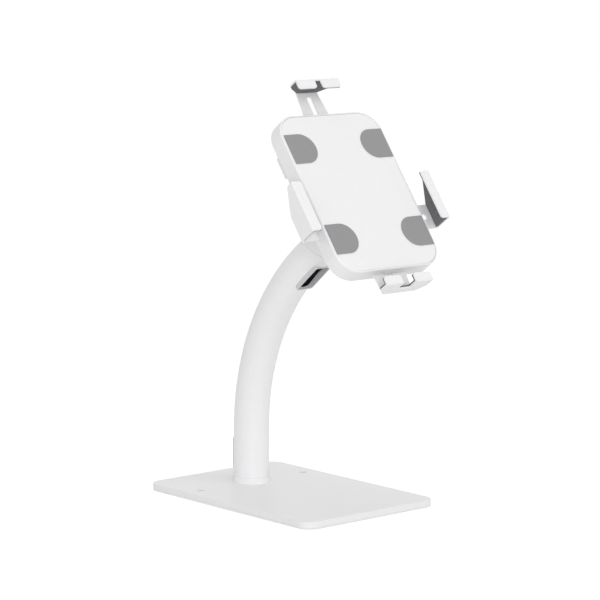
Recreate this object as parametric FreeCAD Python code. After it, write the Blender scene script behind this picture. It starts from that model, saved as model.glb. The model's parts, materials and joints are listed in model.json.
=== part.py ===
"""Anti-theft tablet desk stand: a tilting and turning tablet holder on a bent post."""
import FreeCAD, Part
import math
import os

Vector = FreeCAD.Vector

# Sizes are in millimetres. +Z is up, the screen side faces -Y, and the origin
# is the centre of the base's underside.

# Clearances
RUNNING = 0.05          # radial, shaft in its bore
FIT = 0.1               # radial, a fixed piece in its hole
SLIDE_GAP = 0.15        # each face of a sliding or turning flat piece
SLOT_GAP = 0.3          # each side of an arm in its wall slot
PAST = 1.0              # how far a cut runs past the face it opens
SAME = 1e-4             # two lengths closer than this count as equal

# Base
MAT_T = 1.0
MAT_INSET = 4.0
BASE_W = 200.0
BASE_D = 294.6
BASE_T = 7.5
BASE_CORNER = 18.0
BASE_EDGE = 1.0
ANCHOR_HOLE_D = 9.0
ANCHOR_EDGE = 0.5
ANCHOR_X = 80.0
ANCHOR_Y = 69.5
MAT_HOLE_MARGIN = 2.0

# Post
POST_D = 42.4
POST_WALL = 2.0
POST_Y = 71.3
POST_STRAIGHT = 63.7
POST_BEND_R = 274.0
POST_BEND_DEG = 58.0
COLLAR_D = 45.5
COLLAR_H = 7.0
PLUG_H = 11.0
FOOT_SCREW_D = 6.0
FOOT_SCREW_HEAD_D = 11.6
FOOT_SCREW_CIRCLE = 24.0
FOOT_SCREW_COUNT = 3
FOOT_SCREW_DEPTH = 9.0

# Cable frames
FRAME_RIM = 1.5
FRAME_COLLAR = 0.8
FRAME_CORNER = 3.0
FRAME_CORNER_LEAST = 0.5
FRAME_DEPTH = 6.0
LOWER_FRAME_W = 20.0
LOWER_FRAME_L = 39.5
LOWER_FRAME_Z = 13.0
LOWER_FRAME_PROUD = 1.6
UPPER_FRAME_W = 24.0
UPPER_FRAME_L = 46.0
UPPER_FRAME_FROM_END = 36.0
UPPER_FRAME_PROUD = 1.8

# Neck and tilt joint
SPIGOT_D = 37.6
SPIGOT_L = 8.0
SEAM_DEG = 24.8         # slant of the tube's end, longer at the underside
SEAM_W = 0.4
SEAM_DEPTH = 0.8
SET_SCREW_D = 5.0
SET_SCREW_L = 7.0
SET_SCREW_ANGLES = (-30.0, 30.0)
PIVOT_REACH = 32.0
FORK_SLOT_BACK = 19.5
TONGUE_T = 14.0
TONGUE_R = 15.0
WASHER_T = 1.2
WASHER_D = 27.0
TILT_BOLT_D = 10.0
TILT_HEAD_D = 18.0
TILT_HEAD_T = 4.0
TILT_SOCKET_AF = 6.0
TILT_SOCKET_DEPTH = 2.4
TILT_NUT_AF = 17.0
TILT_NUT_T = 5.0
BOLT_TIP = 1.0

# Head: where it sits on the tilt axis
HEAD_LEAN_DEG = 36.0
PIVOT_BELOW_CENTRE = 21.9
PIVOT_DEPTH = 60.3

# Shell and panel
SHELL_W = 153.5
SHELL_H = 205.8
SHELL_DEPTH = 21.5
SHELL_WALL = 2.0
SHELL_CORNER = 28.0
SHELL_FRONT_EDGE = 1.7
SHELL_BACK_EDGE = 3.0
PANEL_T = 2.0
PANEL_GAP = 0.3
PANEL_EDGE = 0.5
PANEL_POST_D = 8.0
PANEL_POST_FROM_SIDE = 16.75
PANEL_POST_FROM_END = 18.9

# Grip pads
PAD_R = 19.0
PAD_FROM_SIDE = 22.75
PAD_FROM_END = 43.9
PAD_PROUD = 1.0

# Swivel
STEM_D = 30.0
STEM_BACK_GAP = 1.1
FLANGE_D = 50.0
FLANGE_T = 4.0
DISC_T = 1.5
STUB_D = 12.0
STUB_TIP = 1.5
BUSH_WALL = 4.0
BUSH_FLANGE_D = 28.0
BUSH_FLANGE_T = 1.5
SWIVEL_WASHER_D = 24.0
SWIVEL_WASHER_T = 2.0
SWIVEL_NUT_AF = 18.0
SWIVEL_NUT_T = 7.0
COVER_D = 84.0
COVER_WALL = 2.0
COVER_GAP = 6.0
COVER_EDGE = 3.0
COVER_HOLE_GAP = 1.5
COVER_SCREW_D = 4.0
COVER_SCREW_HEAD_D = 7.5
COVER_SCREW_HEAD_T = 2.4
COVER_SCREW_L = 8.0
COVER_BOSS_D = 9.0
COVER_SCREW_CIRCLE = 66.0
COVER_SCREW_ANGLES = (90.0, 210.0, 330.0)

# Arms and claws, cut and bent from one sheet. IN and OUT: how far a claw slides from rest
SHEET = 2.0
ARM_DEPTH = 11.5
REAR_BEND = 4.0
LIP_BEND = 2.4
LIP_FRONT = 13.0
LIP_CORNER = 3.5
LINING_T = 2.0
LINING_BACK_GAP = 0.3
LINING_INSET = 0.5
ARM_SLOT_W = 7.5
ARM_SLOT_SPARE = 1.5
ARM_TAIL = 3.5
ARM_PASS = 2.5
SIDE_REACH = 104.5
SIDE_IN = 21.0
SIDE_OUT = 12.0
SIDE_LIP = 13.5
SIDE_LOW = -51.5
SIDE_ARM_W = 31.2
SIDE_HIGH = 11.2
SIDE_FLARE_N = 3.4
SIDE_CORNER = 5.0
SIDE_SLOT_TO_WALL = 10.5
SIDE_SCREWS_FROM_EDGE = (20.25, 7.75)
TOP_REACH = 142.6
TOP_OUT = 25.0
TOP_LIP = 12.3
TOP_HALF = 31.8
TOP_ARM_HALF = 18.8
TOP_ARM_HALF_END = 15.4
TOP_NOTCH_HALF = 4.5
TOP_SLOT_TO_WALL = 9.3
TOP_SCREWS_FROM_EDGE = (30.9, 10.9)
LOW_REACH = 128.2
LOW_IN = 20.0
LOW_OUT = 12.0
LOW_LIP = 10.9
LOW_HALF = 35.0
LOW_ARM_HALF = 24.0
LOW_ARM_HALF_END = 22.3
LOW_SLOT_TO_WALL = 16.2
LOW_SCREWS_FROM_EDGE = (26.9, 16.9)
PORT_HALF = 9.5
PORT_N = -1.5
FLARE_N = 0.0
FLARE_CORNER = 4.0
GUIDE_SCREW_D = 5.0
GUIDE_HEAD_D = 9.0
GUIDE_HEAD_T = 3.0
STANDOFF_D = 10.0

# Lock
LOCK_FROM_SIDE = 19.05
LOCK_FROM_END = 51.3
LOCK_HOUSING_W = 24.0
LOCK_HOUSING_H = 30.0
LOCK_HOUSING_T = 8.7
LOCK_HOUSING_BEVEL = 2.0
LOCK_HOUSING_EDGE = 1.0
LOCK_BODY_D = 16.0
LOCK_HEAD_D = 19.0
LOCK_HEAD_T = 2.0
LOCK_NUT_AF = 21.0
LOCK_NUT_T = 3.0
PLUG_D = 10.0
PLUG_COLLAR_D = 12.0
PLUG_COLLAR_T = 2.0
KEY_SLOT_W = 1.6
KEY_SLOT_H = 7.0
KEY_SLOT_DEPTH = 8.0
CAM_T = 2.0
CAM_FRONT = 8.0
CAM_REACH = 18.0
CAM_W = 10.0
CAM_SCREW_D = 3.0
CAM_SCREW_HEAD_D = 6.0
CAM_SCREW_HEAD_T = 2.0
CAM_SCREW_L = 8.0

# Catches of the panel
CATCH_W = 14.0
CATCH_T = 1.5
CATCH_LAP = 5.0
CATCH_GAP = 0.5
LATCH_FOOT_LAP = 5.0
TAB_FROM_SIDE = 6.75
TAB_FROM_END = 30.9
TAB_FOOT_DEPTH = 9.0


# Values worked out from the sizes above
BASE_BOTTOM = MAT_T
BASE_TOP = BASE_BOTTOM + BASE_T
BEND_Z = BASE_TOP + POST_STRAIGHT
BEND_RAD = math.radians(POST_BEND_DEG)
BORE_R = POST_D / 2 - POST_WALL
BEND_CENTRE = Vector(0, POST_Y - POST_BEND_R, BEND_Z)
FORK_HALF_GAP = TONGUE_T / 2 + SLIDE_GAP + WASHER_T
SEAM_RISE = math.tan(math.radians(SEAM_DEG))
SHELL_BACK = -SHELL_DEPTH
FLOOR_N = SHELL_BACK + SHELL_WALL
ARM_FRONT = -ARM_DEPTH
ARM_BACK = ARM_FRONT - SHEET
LEAN = math.radians(HEAD_LEAN_DEG)
HUB_Y = -PIVOT_BELOW_CENTRE
FLANGE_FRONT = SHELL_BACK - DISC_T - SLIDE_GAP
FLANGE_BACK = FLANGE_FRONT - FLANGE_T
COVER_BACK = FLANGE_BACK - COVER_GAP - COVER_WALL
STEM_BACK = -PIVOT_DEPTH + POST_D / 2 + STEM_BACK_GAP
BUSH_TOP = FLOOR_N + BUSH_FLANGE_T
SWIVEL_WASHER_BACK = BUSH_TOP + SLIDE_GAP
SWIVEL_NUT_BACK = SWIVEL_WASHER_BACK + SWIVEL_WASHER_T
PANEL_BACK = -PANEL_T
PANEL_POST_X = SHELL_W / 2 - PANEL_POST_FROM_SIDE
PANEL_POST_Y = SHELL_H / 2 - PANEL_POST_FROM_END
PAD_X = SHELL_W / 2 - PAD_FROM_SIDE
PAD_Y = SHELL_H / 2 - PAD_FROM_END
LOCK_X = LOCK_FROM_SIDE - SHELL_W / 2
LOCK_Y = SHELL_H / 2 - LOCK_FROM_END
CAM_BACK = -CAM_FRONT - CAM_T
LOCK_BACK = SHELL_BACK - LOCK_HOUSING_T
TAB_X = SHELL_W / 2 - TAB_FROM_SIDE
TAB_YS = (LOCK_Y, TAB_FROM_END - SHELL_H / 2)
SCREW_TO_SLOT_END = GUIDE_SCREW_D / 2 + ARM_SLOT_SPARE
SIDE_SCREWS = [SHELL_W / 2 - distance for distance in SIDE_SCREWS_FROM_EDGE]
TOP_SCREWS = [SHELL_H / 2 - distance for distance in TOP_SCREWS_FROM_EDGE]
LOW_SCREWS = [SHELL_H / 2 - distance for distance in LOW_SCREWS_FROM_EDGE]
SIDE_SLOT = (SIDE_SCREWS[0] - SIDE_OUT - SCREW_TO_SLOT_END, SIDE_REACH - SIDE_SLOT_TO_WALL)
TOP_SLOT = (TOP_SCREWS[0] - TOP_OUT - SCREW_TO_SLOT_END, TOP_REACH - TOP_SLOT_TO_WALL)
LOW_SLOT = (LOW_SCREWS[0] - LOW_OUT - SCREW_TO_SLOT_END, LOW_REACH - LOW_SLOT_TO_WALL)
SIDE_ARM_END = SIDE_SLOT[0] - ARM_TAIL
TOP_ARM_END = TOP_SLOT[0] - ARM_TAIL
LOW_ARM_END = LOW_SLOT[0] - ARM_TAIL
LOW_TAIL_HALF = SIDE_ARM_END - SIDE_IN - ARM_PASS
LOW_TAIL_FROM = LOW_IN - SIDE_LOW + ARM_PASS


def bend_point(degrees, offset=0.0):
    """A point in the plane of symmetry, this far round the bend and out from the tube's axis."""
    angle = math.radians(degrees)
    radius = POST_BEND_R + offset
    return BEND_CENTRE + Vector(0, radius * math.cos(angle), radius * math.sin(angle))


def frame(origin, x_axis, y_axis, z_axis):
    """The placement whose own axes are these."""
    matrix = FreeCAD.Matrix(
        x_axis.x, y_axis.x, z_axis.x, origin.x,
        x_axis.y, y_axis.y, z_axis.y, origin.y,
        x_axis.z, y_axis.z, z_axis.z, origin.z,
        0, 0, 0, 1)
    return FreeCAD.Placement(matrix)


ACROSS = Vector(1, 0, 0)
POST_END = bend_point(POST_BEND_DEG)
NECK_DIR = Vector(0, -math.sin(BEND_RAD), math.cos(BEND_RAD))
NECK_UP = Vector(0, math.cos(BEND_RAD), math.sin(BEND_RAD))
NECK = frame(POST_END, ACROSS, NECK_UP, NECK_DIR)
PIVOT = POST_END + NECK_DIR * PIVOT_REACH
HEAD_UP = Vector(0, math.sin(LEAN), math.cos(LEAN))
HEAD_OUT = Vector(0, -math.cos(LEAN), math.sin(LEAN))
HEAD_CENTRE = PIVOT + HEAD_UP * PIVOT_BELOW_CENTRE + HEAD_OUT * PIVOT_DEPTH
HEAD = frame(HEAD_CENTRE, ACROSS, HEAD_UP, HEAD_OUT)


def export(name, shape, placement=None):
    """Writes one piece, moved from its own frame into the stand's frame."""
    piece = shape.copy()
    if placement is not None:
        piece.Placement = placement.multiply(piece.Placement)
    os.makedirs("parts", exist_ok=True)
    piece.exportStep("parts/" + name + ".step")


def rod(diameter, start, end, x=0.0, y=0.0):
    """A round bar along Z."""
    return Part.makeCylinder(diameter / 2, end - start, Vector(x, y, start))


def rod_x(diameter, start, end, y=0.0, z=0.0):
    """A round bar along X."""
    return Part.makeCylinder(diameter / 2, end - start, Vector(start, y, z), ACROSS)


def tube(outer, inner, start, end, x=0.0, y=0.0):
    """A round tube or ring along Z."""
    return rod(outer, start, end, x, y).cut(rod(inner, start - PAST, end + PAST, x, y))


def block(x0, x1, y0, y1, z0, z1):
    """A box between these limits."""
    return Part.makeBox(x1 - x0, y1 - y0, z1 - z0, Vector(x0, y0, z0))


def cone(start_d, end_d, start, end, x=0.0, y=0.0):
    """A tapered bar along Z, from one diameter to the other."""
    return Part.makeCone(start_d / 2, end_d / 2, end - start, Vector(x, y, start))


def corner_arc(before, corner, after, radius):
    """Start, middle and end of the rounding at one corner of an outline."""
    to_before = (before - corner).normalize()
    to_after = (after - corner).normalize()
    half = to_before.getAngle(to_after) / 2
    tangent = radius / math.tan(half)
    inward = (to_before + to_after).normalize()
    middle = corner + inward * (radius / math.sin(half) - radius)
    return corner + to_before * tangent, middle, corner + to_after * tangent


def outline(corners, at):
    """A flat face with rounded corners. corners: (a, b, radius); at(a, b): the point in space."""
    points = [at(a, b) for a, b, radius in corners]
    edges = []
    ends = []
    for index, corner in enumerate(corners):
        point = points[index]
        radius = corner[2]
        if radius:
            after = points[(index + 1) % len(points)]
            start, middle, end = corner_arc(points[index - 1], point, after, radius)
            edges.append(Part.Arc(start, middle, end).toShape())
        else:
            start = end = point
        ends.append((start, end))
    for index, (start, end) in enumerate(ends):
        following = ends[(index + 1) % len(ends)][0]
        if end.distanceToPoint(following) > SAME:
            edges.append(Part.LineSegment(end, following).toShape())
    return Part.Face(Part.Wire(Part.sortEdges(edges)[0]))


def flat(corners, z0, z1):
    """A plate: an outline in X and Y, thick along Z."""
    return outline(corners, lambda a, b: Vector(a, b, z0)).extrude(Vector(0, 0, z1 - z0))


def rectangle(half_x, half_y, radius):
    """Corners of a rounded rectangle about the origin."""
    return [(-half_x, -half_y, radius), (half_x, -half_y, radius),
            (half_x, half_y, radius), (-half_x, half_y, radius)]


def slot(width, y0, y1, z0, z1, x=0.0):
    """A straight slot with round ends, long along Y."""
    half = width / 2
    middle = block(x - half, x + half, y0 + half, y1 - half, z0, z1)
    return middle.fuse([rod(width, z0, z1, x, y0 + half), rod(width, z0, z1, x, y1 - half)]).removeSplitter()


def hexagon(across_flats, start, end, x=0.0, y=0.0):
    """A hexagonal bar along Z."""
    radius = across_flats / math.sqrt(3)
    turns = [math.radians(60 * step + 30) for step in range(6)]
    corners = [(x + radius * math.cos(turn), y + radius * math.sin(turn), 0) for turn in turns]
    return flat(corners, start, end)


def round_edges(shape, radius, chosen):
    """Rounds the edges of a single solid that pass the test."""
    solid = shape.removeSplitter().Solids[0]
    edges = [edge for edge in solid.Edges if chosen(edge)]
    return solid.makeFillet(radius, edges)


def is_flat_at(edge, z):
    """Whether an edge lies wholly at this height."""
    box = edge.BoundBox
    return abs(box.ZMin - z) < SAME and abs(box.ZMax - z) < SAME


def ring_points(circle, angles, x=0.0, y=0.0):
    """Points round a circle of this diameter."""
    turns = [math.radians(angle) for angle in angles]
    return [(x + circle / 2 * math.cos(turn), y + circle / 2 * math.sin(turn)) for turn in turns]


def together(shapes):
    """Several separate solids as one node."""
    return Part.makeCompound(shapes)


# Base


def foot_screw_places():
    """Places of the screws that hold the post to the base."""
    angles = [90 + 360 * number / FOOT_SCREW_COUNT for number in range(FOOT_SCREW_COUNT)]
    return ring_points(FOOT_SCREW_CIRCLE, angles, 0, POST_Y)


def base_plate():
    """Steel plate with two fixing holes, and countersunk holes from below for the post's screws."""
    plate = flat(rectangle(BASE_W / 2, BASE_D / 2, BASE_CORNER), BASE_BOTTOM, BASE_TOP)
    plate = round_edges(plate, BASE_EDGE, lambda edge: is_flat_at(edge, BASE_TOP))
    rim_d = ANCHOR_HOLE_D + 2 * ANCHOR_EDGE
    for x in (-ANCHOR_X, ANCHOR_X):
        plate = plate.cut(rod(ANCHOR_HOLE_D, BASE_BOTTOM - PAST, BASE_TOP + PAST, x, ANCHOR_Y))
        plate = plate.cut(cone(ANCHOR_HOLE_D, rim_d, BASE_TOP - ANCHOR_EDGE, BASE_TOP, x, ANCHOR_Y))
    for x, y in foot_screw_places():
        plate = plate.cut(foot_screw_space(x, y, FIT))
    return plate


def foot_screw_space(x, y, gap):
    """One countersunk screw, or the hole for it where the gap is more than nothing."""
    head_depth = (FOOT_SCREW_HEAD_D - FOOT_SCREW_D) / 2
    shank = rod(FOOT_SCREW_D + 2 * gap, BASE_BOTTOM, BASE_TOP + FOOT_SCREW_DEPTH, x, y)
    head = cone(FOOT_SCREW_HEAD_D + 2 * gap, FOOT_SCREW_D + 2 * gap,
                BASE_BOTTOM, BASE_BOTTOM + head_depth, x, y)
    return shank.fuse(head).removeSplitter()


def base_mat():
    """Non-slip mat under the plate, with holes round the fixing holes."""
    half_x = BASE_W / 2 - MAT_INSET
    half_y = BASE_D / 2 - MAT_INSET
    mat = flat(rectangle(half_x, half_y, BASE_CORNER - MAT_INSET), 0, MAT_T)
    for x in (-ANCHOR_X, ANCHOR_X):
        mat = mat.cut(rod(ANCHOR_HOLE_D + 2 * MAT_HOLE_MARGIN, -PAST, MAT_T + PAST, x, ANCHOR_Y))
    return mat


def foot_screws():
    """Countersunk screws from under the base into the foot plug."""
    return together([foot_screw_space(x, y, 0) for x, y in foot_screw_places()])


def foot_plug():
    """Threaded slug welded into the lower end of the tube."""
    plug = rod(2 * (BORE_R - FIT), BASE_TOP, BASE_TOP + PLUG_H, 0, POST_Y)
    for x, y in foot_screw_places():
        plug = plug.cut(foot_screw_space(x, y, FIT))
    return plug


# Post


def bent_bar(diameter):
    """A solid bar along the axis of the post, up to its end."""
    straight = rod(diameter, BASE_TOP, BEND_Z, 0, POST_Y)
    section = Part.Face(Part.Wire(Part.makeCircle(diameter / 2, Vector(0, POST_Y, BEND_Z))))
    bend = section.revolve(BEND_CENTRE, ACROSS, POST_BEND_DEG)
    return straight.fuse(bend).removeSplitter()


def whole_bar(diameter):
    """The same bar, run on straight past the post's end as far as the neck reaches."""
    run_on = moved(rod(diameter, 0, PIVOT_REACH + POST_D / 2), NECK)
    return bent_bar(diameter).fuse(run_on).removeSplitter()


def lower_frame_place():
    """Frame of the lower opening: own Z points back, out of the tube."""
    middle = BASE_TOP + LOWER_FRAME_Z + LOWER_FRAME_L / 2
    return frame(Vector(0, POST_Y, middle), Vector(-1, 0, 0), Vector(0, 0, 1), Vector(0, 1, 0))


def upper_frame_place():
    """Frame of the upper opening: own Z points down and forward, out of the tube's underside."""
    degrees = POST_BEND_DEG - math.degrees(UPPER_FRAME_FROM_END / POST_BEND_R)
    angle = math.radians(degrees)
    along = Vector(0, -math.sin(angle), math.cos(angle))
    out = Vector(0, -math.cos(angle), -math.sin(angle))
    return frame(bend_point(degrees), along.cross(out), along, out)


def moved(shape, placement):
    """A copy of the shape carried from its own frame."""
    piece = shape.copy()
    piece.Placement = placement.multiply(piece.Placement)
    return piece


def frame_prism(width, length, inset, top):
    """Rounded block of a cable frame's outline, this much smaller on each side."""
    corner = max(FRAME_CORNER - inset, FRAME_CORNER_LEAST)
    return flat(rectangle(width / 2 - inset, length / 2 - inset, corner), BORE_R - FRAME_DEPTH, top)


def cable_frame(width, length, proud, placement):
    """Plastic frame: a rim that sits on the tube and a collar through its wall."""
    top = POST_D / 2 + proud
    rim = moved(frame_prism(width, length, 0, top), placement).cut(bent_bar(POST_D))
    collar = moved(frame_prism(width, length, FRAME_RIM - FRAME_COLLAR, top), placement)
    collar = collar.cut(bent_bar(2 * BORE_R - 2 * FIT))
    hole = moved(frame_prism(width, length, FRAME_RIM, top + PAST), placement)
    return rim.fuse(collar).cut(hole).removeSplitter()


def post_tube():
    """Bent tube with a slanted upper end and an opening for each cable frame."""
    body = whole_bar(POST_D).cut(whole_bar(2 * BORE_R)).cut(moved(past_seam(0), NECK))
    inset = FRAME_RIM - FRAME_COLLAR - FIT
    top = POST_D / 2 + PAST
    body = body.cut(moved(frame_prism(LOWER_FRAME_W, LOWER_FRAME_L, inset, top), lower_frame_place()))
    body = body.cut(moved(frame_prism(UPPER_FRAME_W, UPPER_FRAME_L, inset, top), upper_frame_place()))
    for angle in SET_SCREW_ANGLES:
        body = body.cut(moved(set_screw(angle, FIT), NECK))
    return body


def post_collar():
    """Low ring round the tube at the base."""
    return tube(COLLAR_D, POST_D + 2 * FIT, BASE_TOP, BASE_TOP + COLLAR_H, 0, POST_Y)


# Neck and tilt joint, in the neck's frame: own Z runs on from the tube, own X is the tilt axis


def past_seam(shift):
    """All the space past the tube's slanted end, moved along the neck by the shift."""
    reach = 2 * POST_D
    side = [(-reach, reach * SEAM_RISE + shift, 0), (reach, shift - reach * SEAM_RISE, 0),
            (reach, reach + PIVOT_REACH, 0), (-reach, reach + PIVOT_REACH, 0)]
    return along_x(side, -reach, reach)


def neck_bar(diameter, start, end):
    """A bar along the post's bend and the neck, between two slanted ends at these distances from the seam."""
    bar = moved(whole_bar(diameter), NECK.inverse())
    return bar.common(past_seam(start)).cut(past_seam(end))


def set_screw(angle, gap):
    """A grub screw through the tube's wall into the spigot, on its right side."""
    turn = math.radians(angle)
    direction = Vector(math.cos(turn), math.sin(turn), 0)
    rise = -SPIGOT_L / 2 - POST_D / 2 * direction.y * SEAM_RISE
    start = direction * (POST_D / 2 - SET_SCREW_L) + Vector(0, 0, rise)
    length = SET_SCREW_L + (PAST if gap else 0)
    return Part.makeCylinder(SET_SCREW_D / 2 + gap, length, start, direction)


def set_screws():
    """Grub screws that hold the neck in the tube, trimmed to the tube's surface."""
    limit = moved(whole_bar(POST_D), NECK.inverse())
    return together([set_screw(angle, 0).common(limit) for angle in SET_SCREW_ANGLES])


def neck_fork():
    """Spigot, groove of the seam, round neck and the two cheeks of the fork."""
    neck = neck_bar(POST_D, SEAM_W, PIVOT_REACH + 2 * POST_D)
    rounding = block(-POST_D, POST_D, -POST_D, POST_D, -POST_D, PIVOT_REACH)
    rounding = rounding.fuse(rod_x(POST_D, -POST_D, POST_D, 0, PIVOT_REACH))
    neck = neck.common(rounding)
    slot_back = PIVOT_REACH - FORK_SLOT_BACK
    neck = neck.cut(block(-FORK_HALF_GAP, FORK_HALF_GAP, -POST_D, POST_D, slot_back, PIVOT_REACH + POST_D))
    neck = neck.cut(rod_x(TILT_BOLT_D + 2 * RUNNING, -POST_D, POST_D, 0, PIVOT_REACH))
    neck = neck.cut(rod_x(TILT_HEAD_D + 2 * FIT, tilt_head_seat(), POST_D, 0, PIVOT_REACH))
    nut_room = TILT_NUT_AF * 2 / math.sqrt(3) + 2 * FIT
    neck = neck.cut(rod_x(nut_room, -POST_D, -tilt_nut_seat(), 0, PIVOT_REACH))
    groove = neck_bar(POST_D - 2 * SEAM_DEPTH, 0, SEAM_W)
    neck = neck.fuse([groove, neck_bar(SPIGOT_D, -SPIGOT_L, 0)]).removeSplitter()
    for angle in SET_SCREW_ANGLES:
        neck = neck.cut(set_screw(angle, FIT))
    return neck


def tilt_head_seat():
    """Distance from the middle to the seat of the bolt's head."""
    return POST_D / 2 - TILT_HEAD_T


def tilt_nut_seat():
    """Distance from the middle to the seat of the nut."""
    return POST_D / 2 - TILT_NUT_T - BOLT_TIP


def tilt_bolt():
    """Shouldered bolt along the tilt axis, with a hexagonal socket."""
    seat = tilt_head_seat()
    bolt = rod_x(TILT_BOLT_D, -POST_D / 2, seat, 0, PIVOT_REACH)
    bolt = bolt.fuse(rod_x(TILT_HEAD_D, seat, seat + TILT_HEAD_T, 0, PIVOT_REACH)).removeSplitter()
    socket = hexagon(TILT_SOCKET_AF, -TILT_SOCKET_DEPTH, PAST)
    turned = frame(Vector(seat + TILT_HEAD_T, 0, PIVOT_REACH), Vector(0, 1, 0), Vector(0, 0, 1), ACROSS)
    return bolt.cut(moved(socket, turned))


def tilt_nut():
    """Nut of the tilt bolt."""
    seat = tilt_nut_seat()
    nut = hexagon(TILT_NUT_AF, 0, TILT_NUT_T).cut(rod(TILT_BOLT_D + 2 * RUNNING, -PAST, TILT_NUT_T + PAST))
    place = frame(Vector(-seat, 0, PIVOT_REACH), Vector(0, 1, 0), Vector(0, 0, -1), Vector(-1, 0, 0))
    return moved(nut, place)


def tilt_washers():
    """Two friction washers between the tongue and the cheeks."""
    bore = rod_x(TILT_BOLT_D + 2 * RUNNING, -POST_D, POST_D, 0, PIVOT_REACH)
    starts = (-FORK_HALF_GAP, FORK_HALF_GAP - WASHER_T)
    return together([rod_x(WASHER_D, start, start + WASHER_T, 0, PIVOT_REACH).cut(bore) for start in starts])


# Head, in its own frame: X across, Y up the screen, Z out of the screen, zero at the panel's face


def tilt_knuckle():
    """Tongue on the tilt axis, round stem, flange and the stub that the head turns on."""
    tongue = block(-TONGUE_T / 2, TONGUE_T / 2, HUB_Y - TONGUE_R, HUB_Y + TONGUE_R, -PIVOT_DEPTH, STEM_BACK)
    tongue = tongue.fuse(rod_x(2 * TONGUE_R, -TONGUE_T / 2, TONGUE_T / 2, HUB_Y, -PIVOT_DEPTH))
    stub_end = SWIVEL_NUT_BACK + SWIVEL_NUT_T + STUB_TIP
    body = tongue.fuse([rod(STEM_D, STEM_BACK, FLANGE_BACK, 0, HUB_Y),
                        rod(FLANGE_D, FLANGE_BACK, FLANGE_FRONT, 0, HUB_Y),
                        rod(STUB_D, FLANGE_FRONT, stub_end, 0, HUB_Y)]).removeSplitter()
    return body.cut(rod_x(TILT_BOLT_D + 2 * RUNNING, -POST_D, POST_D, HUB_Y, -PIVOT_DEPTH))


def swivel_washer():
    """Steel washer between the bush and the nut."""
    end = SWIVEL_WASHER_BACK + SWIVEL_WASHER_T
    return tube(SWIVEL_WASHER_D, STUB_D + 2 * FIT, SWIVEL_WASHER_BACK, end, 0, HUB_Y)


def swivel_nut():
    """Locking nut on the stub."""
    nut = hexagon(SWIVEL_NUT_AF, SWIVEL_NUT_BACK, SWIVEL_NUT_BACK + SWIVEL_NUT_T, 0, HUB_Y)
    return nut.cut(rod(STUB_D + 2 * RUNNING, FLOOR_N, 0, 0, HUB_Y))


def swivel_bush():
    """Plastic bush with a flange, pressed in the shell's back."""
    bush = tube(STUB_D + 2 * BUSH_WALL, STUB_D + 2 * RUNNING, SHELL_BACK, FLOOR_N, 0, HUB_Y)
    flange = tube(BUSH_FLANGE_D, STUB_D + 2 * RUNNING, FLOOR_N, BUSH_TOP, 0, HUB_Y)
    return bush.fuse(flange).removeSplitter()


def swivel_disc():
    """Friction disc between the knuckle's flange and the shell."""
    return tube(FLANGE_D, STUB_D + 2 * RUNNING, SHELL_BACK - DISC_T, SHELL_BACK, 0, HUB_Y)


def cover_screw_places():
    """Places of the screws of the rear cover."""
    return ring_points(COVER_SCREW_CIRCLE, COVER_SCREW_ANGLES, 0, HUB_Y)


def rear_cover():
    """Round cup over the flange, open for the stem, with bosses for its screws."""
    cup = rod(COVER_D, COVER_BACK, SHELL_BACK, 0, HUB_Y)
    cup = round_edges(cup, COVER_EDGE, lambda edge: is_flat_at(edge, COVER_BACK))
    cup = cup.cut(rod(COVER_D - 2 * COVER_WALL, COVER_BACK + COVER_WALL, SHELL_BACK + PAST, 0, HUB_Y))
    cup = cup.cut(rod(STEM_D + 2 * COVER_HOLE_GAP, COVER_BACK - PAST, SHELL_BACK, 0, HUB_Y))
    for x, y in cover_screw_places():
        cup = cup.fuse(rod(COVER_BOSS_D, COVER_BACK + COVER_WALL / 2, SHELL_BACK, x, y)).removeSplitter()
        end = FLOOR_N - COVER_SCREW_L - PAST
        cup = cup.cut(rod(COVER_SCREW_D + 2 * FIT, end, SHELL_BACK + PAST, x, y))
    return cup


def cover_screws():
    """Screws from inside the shell into the rear cover."""
    screws = []
    for x, y in cover_screw_places():
        shank = rod(COVER_SCREW_D, FLOOR_N - COVER_SCREW_L, FLOOR_N, x, y)
        head = rod(COVER_SCREW_HEAD_D, FLOOR_N, FLOOR_N + COVER_SCREW_HEAD_T, x, y)
        screws.append(shank.fuse(head).removeSplitter())
    return together(screws)


def arm_wall_slots():
    """Cuts through the shell's walls for the four arms."""
    z0 = ARM_BACK - SLOT_GAP
    z1 = ARM_FRONT + SLOT_GAP
    inner_x = SHELL_W / 2 - 2 * SHELL_WALL
    inner_y = SHELL_H / 2 - 2 * SHELL_WALL
    side_low = SIDE_LOW - SLOT_GAP
    side_high = SIDE_LOW + SIDE_ARM_W + SLOT_GAP
    return [block(inner_x, SHELL_W, side_low, side_high, z0, z1),
            block(-SHELL_W, -inner_x, side_low, side_high, z0, z1),
            block(-TOP_ARM_HALF - SLOT_GAP, TOP_ARM_HALF + SLOT_GAP, inner_y, SHELL_H, z0, z1),
            block(-LOW_ARM_HALF - SLOT_GAP, LOW_ARM_HALF + SLOT_GAP, -SHELL_H, -inner_y, z0, z1)]


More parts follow.
